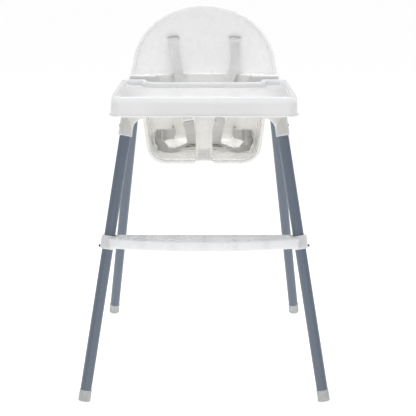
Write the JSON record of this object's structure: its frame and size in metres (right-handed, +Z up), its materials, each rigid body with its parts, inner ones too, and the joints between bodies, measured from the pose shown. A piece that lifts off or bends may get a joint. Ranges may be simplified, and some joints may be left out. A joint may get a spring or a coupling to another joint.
{
  "type": "baby high chair",
  "caption": "High chair for a baby: moulded bucket seat with a domed back, slide-on tray, footrest and harness on splayed tube legs.",
  "frame": {"origin": "on the floor under the middle of the chair, at the centre of the base of its box", "axes": "+Z up; +X to the right of somebody facing the chair; +Y towards the back, so the child faces -Y"},
  "size_m": [0.597, 0.6562, 0.9],
  "materials": {
    "seat_plastic": "moulded white, satin gloss",
    "tray_plastic": "moulded white, gloss",
    "leg_paint": "blue-grey powder coat, satin",
    "foot_rubber": "light grey, matte",
    "button_steel": "dark plated steel",
    "spring_steel": "spring steel",
    "webbing": "light grey woven webbing",
    "slider_plastic": "white, satin",
    "buckle_plastic": "warm grey, satin"
  },
  "bodies": {
    "chair": {"seat_shell": "seat_plastic", "footrest": "tray_plastic", "upper_leg_front_left": "leg_paint", "lower_leg_front_left": "leg_paint", "foot_cap_front_left": "foot_rubber", "socket_spring_front_left": "spring_steel", "joint_spring_front_left": "spring_steel", "footrest_spring_front_left": "spring_steel", "upper_leg_front_right": "leg_paint", "lower_leg_front_right": "leg_paint", "foot_cap_front_right": "foot_rubber", "socket_spring_front_right": "spring_steel", "joint_spring_front_right": "spring_steel", "footrest_spring_front_right": "spring_steel", "upper_leg_rear_left": "leg_paint", "lower_leg_rear_left": "leg_paint", "foot_cap_rear_left": "foot_rubber", "socket_spring_rear_left": "spring_steel", "joint_spring_rear_left": "spring_steel", "upper_leg_rear_right": "leg_paint", "lower_leg_rear_right": "leg_paint", "foot_cap_rear_right": "foot_rubber", "socket_spring_rear_right": "spring_steel", "joint_spring_rear_right": "spring_steel", "shoulder_strap_left": "webbing", "waist_strap_left": "webbing", "waist_slider_left": "slider_plastic", "buckle_tongue_left": "buckle_plastic", "shoulder_strap_right": "webbing", "waist_strap_right": "webbing", "waist_slider_right": "slider_plastic", "buckle_tongue_right": "buckle_plastic", "crotch_strap": "webbing", "strap_stops": "slider_plastic", "buckle_body": "buckle_plastic", "buckle_spring": "spring_steel"},
    "tray": {"tray": "tray_plastic"},
    "socket_button_front_left": {"socket_button_front_left": "button_steel"},
    "joint_button_front_left": {"joint_button_front_left": "button_steel"},
    "footrest_button_front_left": {"footrest_button_front_left": "button_steel"},
    "socket_button_front_right": {"socket_button_front_right": "button_steel"},
    "joint_button_front_right": {"joint_button_front_right": "button_steel"},
    "footrest_button_front_right": {"footrest_button_front_right": "button_steel"},
    "socket_button_rear_left": {"socket_button_rear_left": "button_steel"},
    "joint_button_rear_left": {"joint_button_rear_left": "button_steel"},
    "socket_button_rear_right": {"socket_button_rear_right": "button_steel"},
    "joint_button_rear_right": {"joint_button_rear_right": "button_steel"},
    "shoulder_slider_left": {"shoulder_slider_left": "slider_plastic"},
    "shoulder_slider_right": {"shoulder_slider_right": "slider_plastic"},
    "buckle_button": {"buckle_button": "buckle_plastic"}
  },
  "joints": [
    {"name": "tray_slide", "type": "slide", "parent": "chair", "child": "tray", "axis": [0, -1, 0], "range_m": [0, 0.15]},
    {"name": "socket_press_front_left", "type": "slide", "parent": "chair", "child": "socket_button_front_left", "axis": [0.9881, -0.0357, -0.1496], "range_m": [0, 0.0048], "stiffness_N_per_m": 2000, "springref_m": -0.002, "deforming": ["socket_spring_front_left"]},
    {"name": "joint_press_front_left", "type": "slide", "parent": "chair", "child": "joint_button_front_left", "axis": [0.0362, -0.9734, 0.2262], "range_m": [0, 0.0024], "stiffness_N_per_m": 2000, "springref_m": -0.002, "deforming": ["joint_spring_front_left"]},
    {"name": "footrest_press_front_left", "type": "slide", "parent": "chair", "child": "footrest_button_front_left", "axis": [0.9881, -0.0357, -0.1496], "range_m": [0, 0.0093], "stiffness_N_per_m": 2000, "springref_m": -0.002, "deforming": ["footrest_spring_front_left"]},
    {"name": "socket_press_front_right", "type": "slide", "parent": "chair", "child": "socket_button_front_right", "axis": [-0.9881, -0.0357, -0.1496], "range_m": [0, 0.0048], "stiffness_N_per_m": 2000, "springref_m": -0.002, "deforming": ["socket_spring_front_right"]},
    {"name": "joint_press_front_right", "type": "slide", "parent": "chair", "child": "joint_button_front_right", "axis": [-0.0362, -0.9734, 0.2262], "range_m": [0, 0.0024], "stiffness_N_per_m": 2000, "springref_m": -0.002, "deforming": ["joint_spring_front_right"]},
    {"name": "footrest_press_front_right", "type": "slide", "parent": "chair", "child": "footrest_button_front_right", "axis": [-0.9881, -0.0357, -0.1496], "range_m": [0, 0.0093], "stiffness_N_per_m": 2000, "springref_m": -0.002, "deforming": ["footrest_spring_front_right"]},
    {"name": "socket_press_rear_left", "type": "slide", "parent": "chair", "child": "socket_button_rear_left", "axis": [0.9925, 0.0275, -0.1194], "range_m": [0, 0.0048], "stiffness_N_per_m": 2000, "springref_m": -0.002, "deforming": ["socket_spring_rear_left"]},
    {"name": "joint_press_rear_left", "type": "slide", "parent": "chair", "child": "joint_button_rear_left", "axis": [-0.028, -0.9749, -0.2207], "range_m": [0, 0.0024], "stiffness_N_per_m": 2000, "springref_m": -0.002, "deforming": ["joint_spring_rear_left"]},
    {"name": "socket_press_rear_right", "type": "slide", "parent": "chair", "child": "socket_button_rear_right", "axis": [-0.9925, 0.0275, -0.1194], "range_m": [0, 0.0048], "stiffness_N_per_m": 2000, "springref_m": -0.002, "deforming": ["socket_spring_rear_right"]},
    {"name": "joint_press_rear_right", "type": "slide", "parent": "chair", "child": "joint_button_rear_right", "axis": [0.028, -0.9749, -0.2207], "range_m": [0, 0.0024], "stiffness_N_per_m": 2000, "springref_m": -0.002, "deforming": ["joint_spring_rear_right"]},
    {"name": "shoulder_adjust_left", "type": "slide", "parent": "chair", "child": "shoulder_slider_left", "axis": [0.1748, -0.5698, -0.8029], "range_m": [-0.06, 0.03]},
    {"name": "shoulder_adjust_right", "type": "slide", "parent": "chair", "child": "shoulder_slider_right", "axis": [-0.1748, -0.5698, -0.8029], "range_m": [-0.06, 0.03]},
    {"name": "buckle_press", "type": "slide", "parent": "chair", "child": "buckle_button", "axis": [0, 0, -1], "range_m": [0, 0.0025], "stiffness_N_per_m": 1500, "springref_m": -0.001, "deforming": ["buckle_spring"]}
  ]
}
